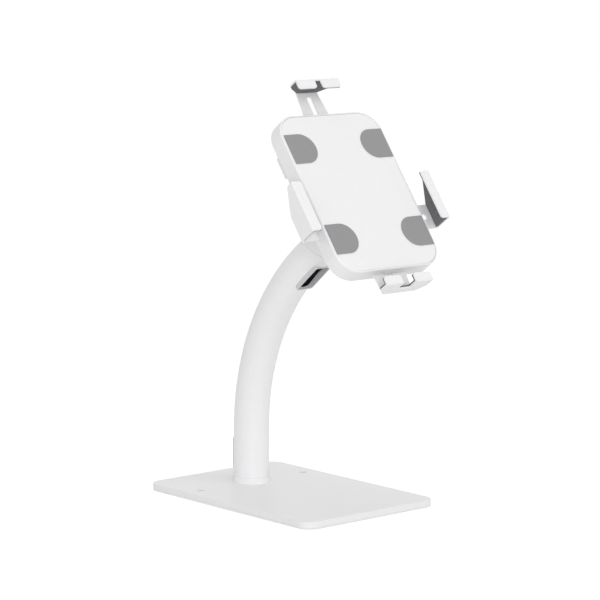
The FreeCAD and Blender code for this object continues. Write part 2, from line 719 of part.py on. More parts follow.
def back_shell():
    """Shallow tray, open at the front, slotted for the arms and bored for what passes its back."""
    half_x = SHELL_W / 2
    half_y = SHELL_H / 2
    tray = flat(rectangle(half_x, half_y, SHELL_CORNER), SHELL_BACK, 0)
    tray = round_edges(tray, SHELL_BACK_EDGE, lambda edge: is_flat_at(edge, SHELL_BACK))
    tray = round_edges(tray, SHELL_FRONT_EDGE, lambda edge: is_flat_at(edge, 0))
    corner = SHELL_CORNER - SHELL_WALL
    inside = rectangle(half_x - SHELL_WALL, half_y - SHELL_WALL, corner)
    tray = tray.cut(flat(inside, FLOOR_N, PAST))
    tray = tray.cut(arm_wall_slots())
    cuts = [rod(STUB_D + 2 * BUSH_WALL + 2 * FIT, SHELL_BACK - PAST, FLOOR_N + PAST, 0, HUB_Y),
            rod(LOCK_BODY_D + 2 * FIT, SHELL_BACK - PAST, FLOOR_N + PAST, LOCK_X, LOCK_Y)]
    for x, y in cover_screw_places():
        cuts.append(rod(COVER_SCREW_D + 2 * FIT, SHELL_BACK - PAST, FLOOR_N + PAST, x, y))
    return tray.cut(cuts)


def panel_corners():
    """Outline of the front panel: the tray's inside less the seam."""
    inset = SHELL_WALL + PANEL_GAP
    return rectangle(SHELL_W / 2 - inset, SHELL_H / 2 - inset, SHELL_CORNER - inset)


def front_panel():
    """Flat panel, flush with the tray's rim."""
    panel = flat(panel_corners(), PANEL_BACK, 0)
    return round_edges(panel, PANEL_EDGE, lambda edge: is_flat_at(edge, 0))


def panel_posts():
    """Four posts in the tray that the panel rests on."""
    places = [(x, y) for x in (-PANEL_POST_X, PANEL_POST_X) for y in (-PANEL_POST_Y, PANEL_POST_Y)]
    return together([rod(PANEL_POST_D, FLOOR_N, PANEL_BACK, x, y) for x, y in places])


def grip_pad(side, level):
    """D-shaped pad: round towards the middle, square at the panel's side."""
    inset = PANEL_EDGE
    edge = side * (SHELL_W / 2 - SHELL_WALL - PANEL_GAP)
    y = level * PAD_Y
    x0 = min(side * PAD_X, edge)
    x1 = max(side * PAD_X, edge)
    pad = block(x0, x1, y - PAD_R, y + PAD_R, 0, PAD_PROUD)
    pad = pad.fuse(rod(2 * PAD_R, 0, PAD_PROUD, side * PAD_X, y)).removeSplitter()
    corners = [(a - math.copysign(inset, a), b - math.copysign(inset, b), r - inset)
               for a, b, r in panel_corners()]
    return pad.common(flat(corners, -PAST, PAD_PROUD + PAST))


def bracket(x_leg, x_foot, y, z_root, z_foot):
    """A strip bent to an L: a leg along Z at x_leg and a foot at z_foot that reaches x_foot."""
    toward = math.copysign(1, x_foot - x_leg)
    leg_x = sorted((x_leg, x_leg - toward * CATCH_T))
    leg_z = sorted((z_root, z_foot))
    foot_x = sorted((x_leg - toward * CATCH_T, x_foot))
    grow = math.copysign(CATCH_T, z_root - z_foot)
    foot_z = sorted((z_foot, z_foot + grow))
    leg = block(leg_x[0], leg_x[1], y - CATCH_W / 2, y + CATCH_W / 2, leg_z[0], leg_z[1])
    foot = block(foot_x[0], foot_x[1], y - CATCH_W / 2, y + CATCH_W / 2, foot_z[0], foot_z[1])
    return leg.fuse(foot).removeSplitter()


def panel_tabs():
    """Tabs on the back of the panel, at its right side, whose feet point inward."""
    foot_end = TAB_X - CATCH_LAP - 2 * CATCH_T
    return together([bracket(TAB_X, foot_end, y, PANEL_BACK, -TAB_FOOT_DEPTH) for y in TAB_YS])


def catch_brackets():
    """Brackets on the tray's back whose feet lie over the feet of the tabs."""
    foot_end = TAB_X - CATCH_T
    leg = foot_end - CATCH_LAP - 2 * CATCH_T
    foot_top = 2 * CATCH_T + CATCH_GAP - TAB_FOOT_DEPTH
    return together([bracket(leg, foot_end - CATCH_GAP, y, FLOOR_N, foot_top) for y in TAB_YS])


def latch_tab():
    """Tab on the back of the panel whose foot lies under the lock's cam."""
    foot_end = LOCK_X + CAM_REACH - LATCH_FOOT_LAP
    leg = LOCK_X + CAM_REACH + CATCH_GAP
    return bracket(leg, foot_end, LOCK_Y, PANEL_BACK, CAM_BACK - CATCH_GAP - CATCH_T)


# Arms, each in its own frame: X along the claw, Y outward, Z out of the screen


def hook(y_in, reach, lip):
    """Side view of a claw: the arm's end, the wall and the lip, as bent sheet."""
    lip_back = LIP_FRONT - SHEET
    return [(y_in, ARM_BACK, 0), (reach, ARM_BACK, REAR_BEND), (reach, LIP_FRONT, LIP_BEND),
            (reach - lip, LIP_FRONT, 0), (reach - lip, lip_back, 0),
            (reach - SHEET, lip_back, LIP_BEND - SHEET), (reach - SHEET, ARM_FRONT, REAR_BEND - SHEET),
            (y_in, ARM_FRONT, 0)]


def along_x(corners, x0, x1):
    """An outline in Y and Z, thick along X."""
    return outline(corners, lambda a, b: Vector(x0, a, b)).extrude(Vector(x1 - x0, 0, 0))


def along_y(corners, y0, y1):
    """An outline in X and Z, thick along Y."""
    return outline(corners, lambda a, b: Vector(a, y0, b)).extrude(Vector(0, y1 - y0, 0))


def round_lip(claw, reach, lip):
    """Rounds the free corners of the lips."""
    def free_corner(edge):
        box = edge.BoundBox
        at_end = abs(box.YMin - reach + lip) < SAME and box.YLength < SAME
        return at_end and box.XLength < SAME and box.ZLength > SHEET / 2
    return round_edges(claw, LIP_CORNER, free_corner)


def claw(front, reach, lip, cuts):
    """Wall and lips of an arm: the bent sheet inside the claw's outline as seen from outside."""
    xs = [corner[0] for corner in front]
    y_in = reach - REAR_BEND - SHEET
    sheet = along_x(hook(y_in, reach, lip), min(xs), max(xs))
    sheet = sheet.common(along_y(front, min(y_in, reach - lip) - PAST, reach + PAST))
    for cut in cuts:
        sheet = sheet.cut(cut)
    return round_lip(sheet, reach, lip)


def lining(front, reach, lip, cuts):
    """Soft lining on the inside of the wall and behind the lips."""
    back = LIP_FRONT - SHEET
    wall = reach - SHEET
    low = ARM_FRONT + LINING_BACK_GAP
    side = [(wall, low + LINING_T, 0), (wall, back, LIP_BEND - SHEET), (reach - lip + LINING_INSET, back, 0),
            (reach - lip + LINING_INSET, back - LINING_T, 0), (wall - LINING_T, back - LINING_T, 0),
            (wall - LINING_T, low, 0)]
    xs = [corner[0] for corner in front]
    strip = along_x(side, min(xs) + LINING_INSET, max(xs) - LINING_INSET)
    strip = strip.common(along_y(front, 0, reach))
    for cut in cuts:
        strip = strip.cut(cut)
    return strip


def side_front(direction):
    """A side claw seen from outside: square low end, slanted back and a rounded high end."""
    arm_high = SIDE_LOW + SIDE_ARM_W
    corners = [(SIDE_LOW, ARM_BACK - PAST, 0), (arm_high, ARM_BACK - PAST, 0), (arm_high, ARM_FRONT, 0),
               (SIDE_HIGH, SIDE_FLARE_N, SIDE_CORNER), (SIDE_HIGH, LIP_FRONT + PAST, 0),
               (SIDE_LOW, LIP_FRONT + PAST, 0)]
    return [(direction * a, b, r) for a, b, r in corners]


def side_arm(direction):
    """Left or right arm. direction is the sign of the screen's up along the arm's own X."""
    centre = direction * (SIDE_LOW + SIDE_ARM_W / 2)
    half = SIDE_ARM_W / 2
    strip = block(centre - half, centre + half, SIDE_ARM_END, SIDE_REACH - REAR_BEND - SHEET / 2,
                  ARM_BACK, ARM_FRONT)
    body = strip.fuse(claw(side_front(direction), SIDE_REACH, SIDE_LIP, [])).removeSplitter()
    return body.cut(slot(ARM_SLOT_W, *SIDE_SLOT, ARM_BACK - PAST, ARM_FRONT + PAST, centre))


def end_front(half, arm_half):
    """A top or bottom claw seen from outside: it flares from the arm to its full length."""
    return [(-arm_half, ARM_BACK - PAST, 0), (arm_half, ARM_BACK - PAST, 0), (arm_half, ARM_FRONT, 0),
            (half, FLARE_N, FLARE_CORNER), (half, LIP_FRONT + PAST, 0),
            (-half, LIP_FRONT + PAST, 0), (-half, FLARE_N, FLARE_CORNER), (-arm_half, ARM_FRONT, 0)]


def notch(half, z0, reach, lip):
    """Gap in the middle of the lips, down to z0."""
    return block(-half, half, reach - lip - PAST, reach + PAST, z0, LIP_FRONT + PAST)


def top_notch():
    """The gap between the top lips leaves the wall whole."""
    return block(-TOP_NOTCH_HALF, TOP_NOTCH_HALF, TOP_REACH - TOP_LIP - PAST, TOP_REACH - LIP_BEND,
                 LIP_FRONT - SHEET - LINING_T - PAST, LIP_FRONT + PAST)


def port_cut():
    """The cut for the charging plug goes through the bottom lips and the wall."""
    return notch(PORT_HALF, PORT_N, LOW_REACH, LOW_LIP)


def top_arm():
    """Arm of the top claw, tapered outside the shell."""
    edge = SHELL_H / 2
    y_out = TOP_REACH - REAR_BEND - SHEET / 2
    right = [(TOP_ARM_HALF, TOP_ARM_END, 0), (TOP_ARM_HALF, edge, 0), (TOP_ARM_HALF_END, y_out, 0)]
    left = [(-a, b, r) for a, b, r in reversed(right)]
    strip = flat(right + left, ARM_BACK, ARM_FRONT)
    body = strip.fuse(claw(end_front(TOP_HALF, TOP_ARM_HALF_END), TOP_REACH, TOP_LIP, [top_notch()]))
    body = body.removeSplitter()
    return body.cut(slot(ARM_SLOT_W, *TOP_SLOT, ARM_BACK - PAST, ARM_FRONT + PAST))


def low_arm():
    """Arm of the bottom claw, stepped to a narrow tail that passes between the side arms."""
    edge = SHELL_H / 2
    y_out = LOW_REACH - REAR_BEND - SHEET / 2
    right = [(LOW_TAIL_HALF, LOW_ARM_END, 0), (LOW_TAIL_HALF, LOW_TAIL_FROM, 0),
             (LOW_ARM_HALF, LOW_TAIL_FROM, 0), (LOW_ARM_HALF, edge, 0), (LOW_ARM_HALF_END, y_out, 0)]
    left = [(-a, b, r) for a, b, r in reversed(right)]
    strip = flat(right + left, ARM_BACK, ARM_FRONT)
    body = strip.fuse(claw(end_front(LOW_HALF, LOW_ARM_HALF_END), LOW_REACH, LOW_LIP, [port_cut()]))
    body = body.removeSplitter()
    return body.cut(slot(ARM_SLOT_W, *LOW_SLOT, ARM_BACK - PAST, ARM_FRONT + PAST))


UP = Vector(0, 1, 0)
OUT = Vector(0, 0, 1)
MIDDLE = Vector(0, 0, 0)
ARM_FRAMES = {
    "top": frame(MIDDLE, ACROSS, UP, OUT),
    "bottom": frame(MIDDLE, -ACROSS, -UP, OUT),
    "left": frame(MIDDLE, UP, -ACROSS, OUT),
    "right": frame(MIDDLE, -UP, ACROSS, OUT),
}


def guide_places():
    """Places of all guide screws, in the head's frame."""
    centre = SIDE_LOW + SIDE_ARM_W / 2
    places = [(side * distance, centre) for side in (-1, 1) for distance in SIDE_SCREWS]
    places += [(0, distance) for distance in TOP_SCREWS]
    places += [(0, -distance) for distance in LOW_SCREWS]
    return places


def guide_screws():
    """Screws through the arms' slots: they guide the arms and clamp them."""
    screws = []
    head_back = ARM_FRONT + SLIDE_GAP
    for x, y in guide_places():
        shank = rod(GUIDE_SCREW_D, FLOOR_N, head_back, x, y)
        head = rod(GUIDE_HEAD_D, head_back, head_back + GUIDE_HEAD_T, x, y)
        screws.append(shank.fuse(head).removeSplitter())
    return together(screws)


def arm_standoffs():
    """Threaded standoffs on the tray's back that carry the arms."""
    end = ARM_BACK - SLIDE_GAP
    bore_d = GUIDE_SCREW_D + 2 * FIT
    return together([tube(STANDOFF_D, bore_d, FLOOR_N, end, x, y) for x, y in guide_places()])


# Lock


def lock_housing():
    """Block behind the tray that the lock sits in, bevelled at its upper and lower ends."""
    half_x = LOCK_HOUSING_W / 2
    low = LOCK_Y - LOCK_HOUSING_H / 2
    high = LOCK_Y + LOCK_HOUSING_H / 2
    side = [(low, SHELL_BACK, 0), (low + LOCK_HOUSING_BEVEL, LOCK_BACK, LOCK_HOUSING_EDGE),
            (high - LOCK_HOUSING_BEVEL, LOCK_BACK, LOCK_HOUSING_EDGE), (high, SHELL_BACK, 0)]
    body = along_x(side, LOCK_X - half_x, LOCK_X + half_x)
    return body.cut(rod(LOCK_BODY_D + 2 * FIT, LOCK_BACK - PAST, SHELL_BACK + PAST, LOCK_X, LOCK_Y))


def lock_body():
    """Barrel of the lock with its head behind the housing."""
    front = CAM_BACK - SLIDE_GAP
    body = rod(LOCK_BODY_D, LOCK_BACK, front, LOCK_X, LOCK_Y)
    body = body.fuse(rod(LOCK_HEAD_D, LOCK_BACK - LOCK_HEAD_T, LOCK_BACK, LOCK_X, LOCK_Y)).removeSplitter()
    bore = rod(PLUG_D + 2 * RUNNING, LOCK_BACK - LOCK_HEAD_T - PAST, front + PAST, LOCK_X, LOCK_Y)
    collar_room = rod(PLUG_COLLAR_D + 2 * RUNNING, LOCK_BACK - LOCK_HEAD_T - PAST,
                      LOCK_BACK - LOCK_HEAD_T + PLUG_COLLAR_T + SLIDE_GAP, LOCK_X, LOCK_Y)
    return body.cut([bore, collar_room])


def lock_nut():
    """Thin nut that holds the lock in the tray's back."""
    nut = hexagon(LOCK_NUT_AF, FLOOR_N, FLOOR_N + LOCK_NUT_T, LOCK_X, LOCK_Y)
    return nut.cut(rod(LOCK_BODY_D + 2 * FIT, FLOOR_N - PAST, 0, LOCK_X, LOCK_Y))


def lock_plug():
    """Turning core with its keyway, a collar at the back and a threaded hole for the cam's screw."""
    back = LOCK_BACK - LOCK_HEAD_T
    plug = rod(PLUG_D, back, CAM_BACK, LOCK_X, LOCK_Y)
    plug = plug.fuse(rod(PLUG_COLLAR_D, back, back + PLUG_COLLAR_T, LOCK_X, LOCK_Y)).removeSplitter()
    key = block(LOCK_X - KEY_SLOT_W / 2, LOCK_X + KEY_SLOT_W / 2, LOCK_Y - KEY_SLOT_H / 2,
                LOCK_Y + KEY_SLOT_H / 2, back - PAST, back + KEY_SLOT_DEPTH)
    hole_end = -CAM_FRONT - CAM_SCREW_L - PAST
    return plug.cut([key, rod(CAM_SCREW_D + 2 * FIT, hole_end, 0, LOCK_X, LOCK_Y)])


def lock_cam():
    """Flat cam on the plug's front end, over the foot of the latch tab."""
    half = CAM_W / 2
    corners = [(LOCK_X, LOCK_Y - half, 0), (LOCK_X + CAM_REACH, LOCK_Y - half, half / 2),
               (LOCK_X + CAM_REACH, LOCK_Y + half, half / 2), (LOCK_X, LOCK_Y + half, 0)]
    cam = flat(corners, CAM_BACK, -CAM_FRONT)
    cam = cam.fuse(rod(CAM_W, CAM_BACK, -CAM_FRONT, LOCK_X, LOCK_Y)).removeSplitter()
    return cam.cut(rod(CAM_SCREW_D + 2 * FIT, CAM_BACK - PAST, 0, LOCK_X, LOCK_Y))


def cam_screw():
    """Screw that holds the cam on the plug."""
    shank = rod(CAM_SCREW_D, -CAM_FRONT - CAM_SCREW_L, -CAM_FRONT, LOCK_X, LOCK_Y)
    head = rod(CAM_SCREW_HEAD_D, -CAM_FRONT, -CAM_FRONT + CAM_SCREW_HEAD_T, LOCK_X, LOCK_Y)
    return shank.fuse(head).removeSplitter()


# All pieces, each written from its own frame


def write_stand():
    """Base, post and the fixed half of the tilt joint."""
    export("base_plate", base_plate())
    export("base_mat", base_mat())
    export("foot_screws", foot_screws())
    export("foot_plug", foot_plug())
    export("post_tube", post_tube())
    export("post_collar", post_collar())
    export("lower_cable_frame", cable_frame(LOWER_FRAME_W, LOWER_FRAME_L, LOWER_FRAME_PROUD,
                                            lower_frame_place()))
    export("upper_cable_frame", cable_frame(UPPER_FRAME_W, UPPER_FRAME_L, UPPER_FRAME_PROUD,
                                            upper_frame_place()))
    export("neck_fork", neck_fork(), NECK)
    export("neck_set_screws", set_screws(), NECK)
    export("tilt_bolt", tilt_bolt(), NECK)
    export("tilt_nut", tilt_nut(), NECK)
    export("tilt_washers", tilt_washers(), NECK)


def write_head():
    """Knuckle, tray, panel and what they hold."""
    makers = (tilt_knuckle, swivel_washer, swivel_nut, swivel_bush, swivel_disc, rear_cover, cover_screws,
              back_shell, front_panel, panel_posts, panel_tabs, catch_brackets, latch_tab, guide_screws,
              arm_standoffs, lock_housing, lock_body, lock_nut, lock_plug, lock_cam, cam_screw)
    for maker in makers:
        export(maker.__name__, maker(), HEAD)
    for side, side_name in ((-1, "left"), (1, "right")):
        for level, level_name in ((-1, "lower"), (1, "upper")):
            export("grip_pad_" + level_name + "_" + side_name, grip_pad(side, level), HEAD)


def write_arms():
    """The four arms and their linings."""
    top = end_front(TOP_HALF, TOP_ARM_HALF_END)
    low = end_front(LOW_HALF, LOW_ARM_HALF_END)
    pieces = {
        "top": (top_arm(), lining(top, TOP_REACH, TOP_LIP, [top_notch()])),
        "bottom": (low_arm(), lining(low, LOW_REACH, LOW_LIP, [port_cut()])),
        "left": (side_arm(1), lining(side_front(1), SIDE_REACH, SIDE_LIP, [])),
        "right": (side_arm(-1), lining(side_front(-1), SIDE_REACH, SIDE_LIP, [])),
    }
    for name, (arm, strip) in pieces.items():
        place = HEAD.multiply(ARM_FRAMES[name])
        export(name + "_arm", arm, place)
        export(name + "_lining", strip, place)


write_stand()
write_head()
write_arms()
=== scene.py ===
# %% [markdown]
# # Tablet desk stand: the looks
#
# The stand is a steel base plate, a bent tube, a hinge and a flat head whose four claws hold a tablet.
# Its shapes come from the CAD model, which is loaded as a fixed frame. This script gives them their
# finishes, makes the soft pads, the foam linings, the base mat and the screws anew, and sets up camera
# and light.
#
# Lengths are in metres, as Blender has them. `MM` turns a size in millimetres into metres.

# %% Load the CAD model
import bpy
import bmesh
import json
import math
from mathutils import Matrix, Vector


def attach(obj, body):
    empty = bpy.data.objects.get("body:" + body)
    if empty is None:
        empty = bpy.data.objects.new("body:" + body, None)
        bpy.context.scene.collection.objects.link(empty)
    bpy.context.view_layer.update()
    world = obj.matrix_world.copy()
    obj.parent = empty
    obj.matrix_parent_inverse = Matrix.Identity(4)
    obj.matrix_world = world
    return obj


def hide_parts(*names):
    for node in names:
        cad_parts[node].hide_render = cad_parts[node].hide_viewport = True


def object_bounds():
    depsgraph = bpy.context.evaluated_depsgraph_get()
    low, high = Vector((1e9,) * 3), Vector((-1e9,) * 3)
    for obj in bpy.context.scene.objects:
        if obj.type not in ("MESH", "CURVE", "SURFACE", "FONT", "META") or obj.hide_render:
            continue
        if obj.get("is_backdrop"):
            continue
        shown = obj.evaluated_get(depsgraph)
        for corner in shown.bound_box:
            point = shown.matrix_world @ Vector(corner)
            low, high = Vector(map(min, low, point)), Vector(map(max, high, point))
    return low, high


MM = 0.001
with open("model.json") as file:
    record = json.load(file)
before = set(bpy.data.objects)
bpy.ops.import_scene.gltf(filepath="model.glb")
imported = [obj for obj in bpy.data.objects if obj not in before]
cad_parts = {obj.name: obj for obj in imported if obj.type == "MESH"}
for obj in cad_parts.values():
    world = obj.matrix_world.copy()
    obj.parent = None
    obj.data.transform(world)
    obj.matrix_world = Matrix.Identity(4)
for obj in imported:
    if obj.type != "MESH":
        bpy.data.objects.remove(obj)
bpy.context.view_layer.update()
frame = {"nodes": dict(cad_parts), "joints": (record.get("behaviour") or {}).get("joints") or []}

# %% [markdown]
# ## Directions of the head
#
# The head leans back, so its pads and screws are set along the direction out of its screen. It could be
# typed in as an angle, but the joints of the CAD model already hold it, and the middle of the tilt hinge
# too, so both are read from there and always agree with it.

# %% Directions of the head
joints = {joint["name"]: joint for joint in frame["joints"]}
HEAD_OUT = Vector(joints["head_turn"]["axis"])
PIVOT = Vector(joints["head_tilt"]["pos_m"])
print("out of the screen:", [round(part, 3) for part in HEAD_OUT])

# %% [markdown]
# ## Small helpers for materials
#
# Colours are written as sRGB hex, as one reads them off a screen, and Blender's shaders work with
# linear values, so one function converts them. Another adds a node with its settings and links, which
# keeps each material a short list of steps. A third starts a material: one Principled shader, and the
# object coordinates that all patterns here use, because they stay on a piece when it moves.

# %% Colours, nodes and materials


def linear(hex_colour):
    """An sRGB hex colour as linear RGBA."""
    channels = [int(hex_colour[start:start + 2], 16) / 255 for start in (0, 2, 4)]
    return [c / 12.92 if c <= 0.04045 else ((c + 0.055) / 1.055) ** 2.4 for c in channels] + [1.0]


def add_node(tree, kind, inputs=None, **settings):
    """Adds a node. Inputs are values, sockets to link from, or lists of sockets."""
    node = tree.nodes.new(kind)
    for name, value in settings.items():
        setattr(node, name, value)
    for socket, value in (inputs or {}).items():
        sources = value if isinstance(value, list) else [value]
        if isinstance(sources[0], bpy.types.NodeSocket):
            for source in sources:
                tree.links.new(source, node.inputs[socket])
        else:
            node.inputs[socket].default_value = value
    return node


def new_material(name, **shader_inputs):
    """A material with one Principled shader, and its tree, shader and object coordinates."""
    material = bpy.data.materials.new(name)
    material.use_nodes = True
    tree = material.node_tree
    shader = tree.nodes["Principled BSDF"]
    for socket, value in shader_inputs.items():
        shader.inputs[socket.replace("_", " ")].default_value = value
    place = add_node(tree, "ShaderNodeTexCoord").outputs["Object"]
    return material, tree, shader, place


print("a white of F2F2F3 in linear values:", [round(channel, 3) for channel in linear("F2F2F3")])

# %% [markdown]
# ## Grain: one pattern for colour and relief
#
# Paint, rubber, foam and cast plastic all have a fine random relief, and a colour that varies a little
# with it. A noise texture gives both: its height goes to a bump node, and to a ramp between two close
# colours. What tells the finishes apart is the grain's size, its depth and the two colours. Most of the
# noise lies between 0.3 and 0.7 of its height, so the ramp runs from the one to the other.

# %% Grain
RAMP_FROM = 0.3
RAMP_TO = 0.7


def add_grain(tree, shader, place, grain_mm, depth_mm, colours, detail=2.0):
    """Fine relief of this size and depth, with a colour that varies between two hex values."""
    noise = add_node(tree, "ShaderNodeTexNoise", {"Vector": place, "Scale": 1 / (grain_mm * MM),
                                                  "Detail": detail})
    bump = add_node(tree, "ShaderNodeBump", {"Height": noise.outputs["Fac"], "Strength": 1.0,
                                             "Distance": depth_mm * MM})
    tree.links.new(bump.outputs["Normal"], shader.inputs["Normal"])
    ramp = add_node(tree, "ShaderNodeValToRGB", {"Fac": noise.outputs["Fac"]})
    ramp.color_ramp.elements[0].position = RAMP_FROM
    ramp.color_ramp.elements[1].position = RAMP_TO
    ramp.color_ramp.elements[0].color = linear(colours[0])
    ramp.color_ramp.elements[1].color = linear(colours[1])
    tree.links.new(ramp.outputs["Color"], shader.inputs["Base Color"])
    return ramp


def finish(material, *nodes):
    """Gives CAD nodes this material."""
    for node in nodes:
        slots = frame["nodes"][node].data.materials
        slots.clear()
        slots.append(material)
    print(material.name, "on", len(nodes), "CAD nodes")


# %% [markdown]
# ## White powder coat on steel
#
# Base, hinge, claws and head are steel with a polyester powder coat: a dry paint that is sprayed on and
# melted to a satin skin with a slight orange peel. The eye gets an even white with soft, broad
# highlights and a barely uneven surface. The waves of a real orange peel are about 1 mm apart, which is
# finer than the picture shows, so they are drawn at 1.5 mm. Its specular level is a little under the
# default, because the edges of the tube stay darker than its middle in the photograph.

# %% Powder coat
ORANGE_PEEL_MM = 1.5
ORANGE_PEEL_DEPTH_MM = 0.008
COAT_WHITES = ("F0F0F1", "F4F4F5")


def powder_coat(name):
    """White powder coat: satin, with orange peel. Also returns what new_material gives, and the ramp."""
    material, tree, shader, place = new_material(name, Roughness=0.36, IOR=1.5, Specular_IOR_Level=0.35)
    ramp = add_grain(tree, shader, place, ORANGE_PEEL_MM, ORANGE_PEEL_DEPTH_MM, COAT_WHITES)
    return material, tree, shader, place, ramp


white_coat = powder_coat("powder_coated_steel")[0]
finish(white_coat, "base_plate", "post_collar", "neck_fork", "tilt_knuckle", "rear_cover", "back_shell",
       "front_panel", "top_arm", "bottom_arm", "left_arm", "right_arm", "lock_housing")

# %% [markdown]
# ## The tube: coated outside, dark bore with painted shade inside
#
# Powder is sprayed from outside, so the bore of a tube stays bare steel. The bore is coloured a dark
# grey that is partly that steel and partly painted shade, the darkness deep inside the cable openings.
# The tube is one piece in the CAD model, and a second material slot would need its faces sorted.
# Instead the material itself asks how far a point lies from the tube's middle line: nearer than the
# bore's radius plus a hair, it gets the dark bore colour with its painted shade. Below the bend the
# middle line is upright, and past it an arc.

# %% Coated tube
POST_Y_MM = 71.3
POST_BEND_R_MM = 274.0
POST_BORE_R_MM = 19.2
BORE_SHADE_WITHIN_MM = 0.3
BEND_FROM_MM = 72.2
# Dark grey of the bore: partly bare steel, partly painted shade inside the tube.
BORE_STEEL_AND_SHADE = "55565A"


def distance_from_tube_line(tree, place):
    """Node socket with a point's distance from the tube's middle line."""
    from_axis = add_node(tree, "ShaderNodeVectorMath", {0: place, 1: (0, POST_Y_MM * MM, 0)},
                         operation="SUBTRACT")
    level = add_node(tree, "ShaderNodeVectorMath", {0: from_axis.outputs[0], 1: (1, 1, 0)},
                     operation="MULTIPLY")
    upright = add_node(tree, "ShaderNodeVectorMath", {0: level.outputs[0]}, operation="LENGTH")
    arc_middle = (0, (POST_Y_MM - POST_BEND_R_MM) * MM, BEND_FROM_MM * MM)
    from_middle = add_node(tree, "ShaderNodeVectorMath", {0: place, 1: arc_middle}, operation="SUBTRACT")
    in_plane = add_node(tree, "ShaderNodeVectorMath", {0: from_middle.outputs[0], 1: (0, 1, 1)},
                        operation="MULTIPLY")
    radius = add_node(tree, "ShaderNodeVectorMath", {0: in_plane.outputs[0]}, operation="LENGTH")
    off_arc = add_node(tree, "ShaderNodeMath", {0: radius.outputs["Value"], 1: POST_BEND_R_MM * MM},
                       operation="SUBTRACT")
    parts = add_node(tree, "ShaderNodeSeparateXYZ", {"Vector": place})
    off_line = add_node(tree, "ShaderNodeCombineXYZ", {"X": parts.outputs["X"], "Y": off_arc.outputs[0]})
    bent = add_node(tree, "ShaderNodeVectorMath", {0: off_line.outputs[0]}, operation="LENGTH")
    past_bend = add_node(tree, "ShaderNodeMath", {0: parts.outputs["Z"], 1: BEND_FROM_MM * MM},
                         operation="GREATER_THAN")
    chosen = add_node(tree, "ShaderNodeMix", {"Factor": past_bend.outputs[0], "A": upright.outputs["Value"],
                                              "B": bent.outputs["Value"]})
    return chosen.outputs["Result"]


tube_coat, tree, shader, place, ramp = powder_coat("powder_coated_tube")
distance = distance_from_tube_line(tree, place)
# Mask for the bore, which gets the dark grey with its painted shade.
bore_shade_mask = add_node(tree, "ShaderNodeMath", {0: distance, 1: (POST_BORE_R_MM + BORE_SHADE_WITHIN_MM) * MM},
                operation="LESS_THAN")
inside = add_node(tree, "ShaderNodeMix", {"Factor": bore_shade_mask.outputs[0], "A": ramp.outputs["Color"],
                                          "B": linear(BORE_STEEL_AND_SHADE)}, data_type="RGBA")
tree.links.new(inside.outputs["Result"], shader.inputs["Base Color"])
finish(tube_coat, "post_tube")

# %% [markdown]
# ## Moulded plastic and nylon
#
# The frames of the two cable openings are injection-moulded plastic in a very light grey, with the fine
# spark-eroded texture that such moulds have. The bush, the friction disc and the friction washers of
# the hinges are natural nylon, a milky white that is a little glossier.

# %% Plastics
frame_plastic, tree, shader, place = new_material("moulded_light_grey_plastic", Roughness=0.5, IOR=1.53)
add_grain(tree, shader, place, grain_mm=0.6, depth_mm=0.01, colours=("CECED0", "D5D5D7"))
finish(frame_plastic, "lower_cable_frame", "upper_cable_frame")

nylon, tree, shader, place = new_material("natural_nylon", Roughness=0.38, IOR=1.53, Subsurface_Weight=0.1,
                                          Subsurface_Scale=2 * MM)
add_grain(tree, shader, place, grain_mm=1.2, depth_mm=0.01, colours=("E2DFD6", "E8E5DC"))
finish(nylon, "swivel_bush", "swivel_disc", "tilt_washers")

# %% [markdown]
# ## Zinc-plated steel
#
# Screws, nuts, brackets and standoffs are zinc plated: a thin bright coat with a slightly cloudy, blue
# grey look. The metal's reflection does most of the work, so its colour is light and its roughness
# varies in clouds of a few millimetres, as plating does.

# %% Zinc plate
PLATING_RELIEF_MM = 0.002


def plated(name, colours, cloud_mm, least_roughness, most_roughness):
    """Plated metal: the colour drifts in soft clouds, and the roughness with its brightness."""
    material, tree, shader, place = new_material(name, Metallic=1.0)
    ramp = add_grain(tree, shader, place, cloud_mm, PLATING_RELIEF_MM, colours, detail=4.0)
    darkest, brightest = [linear(colour)[1] for colour in colours]
    rough = add_node(tree, "ShaderNodeMapRange", {"Value": ramp.outputs["Color"], "From Min": darkest,
                                                  "From Max": brightest, "To Min": least_roughness,
                                                  "To Max": most_roughness})
    tree.links.new(rough.outputs["Result"], shader.inputs["Roughness"])
    return material


zinc = plated("zinc_plated_steel", ("B4B6BA", "C8CACD"), cloud_mm=4.0,
              least_roughness=0.26, most_roughness=0.42)
finish(zinc, "foot_plug", "tilt_bolt", "tilt_nut", "swivel_washer", "swivel_nut", "panel_posts", "panel_tabs",
       "catch_brackets", "latch_tab", "arm_standoffs", "lock_nut", "cam_screw", "foot_screws", "cover_screws",
       "guide_screws")

# %% [markdown]
# ## The lock, and the black set screws
#
# The barrel of a cam lock is die-cast zinc with a chrome plate: nearly a mirror, with a very faint
# ripple. Its core and cam are brass and steel. The set screws of the neck are hardened steel with a
# black oxide, which is dark and a little oily.

# %% Lock and set screws
chrome = plated("chrome_plated_zinc", ("D2D3D6", "DADBDD"), cloud_mm=8.0,
                least_roughness=0.07, most_roughness=0.13)
finish(chrome, "lock_body")
brass = plated("turned_brass", ("C2A25E", "CFB06C"), cloud_mm=3.0,
               least_roughness=0.22, most_roughness=0.34)
finish(brass, "lock_plug")
finish(zinc, "lock_cam")
black_oxide = plated("black_oxide_steel", ("2C2C2E", "38383A"), cloud_mm=2.0,
                     least_roughness=0.32, most_roughness=0.45)
finish(black_oxide, "neck_set_screws")

# %% [markdown]
# ## Rubber and foam
#
# The four pads on the panel are die-cut silicone sheet in a mid grey: smooth, matt, with a soft edge.
# The linings of the claws are closed-cell foam, darker, whose cut cells show as fine pits of half a
# millimetre. The mat under the base is black nitrile rubber, moulded with rows of small round studs
# 3 mm apart, which the material draws as relief. Their radii are shares of that pitch.

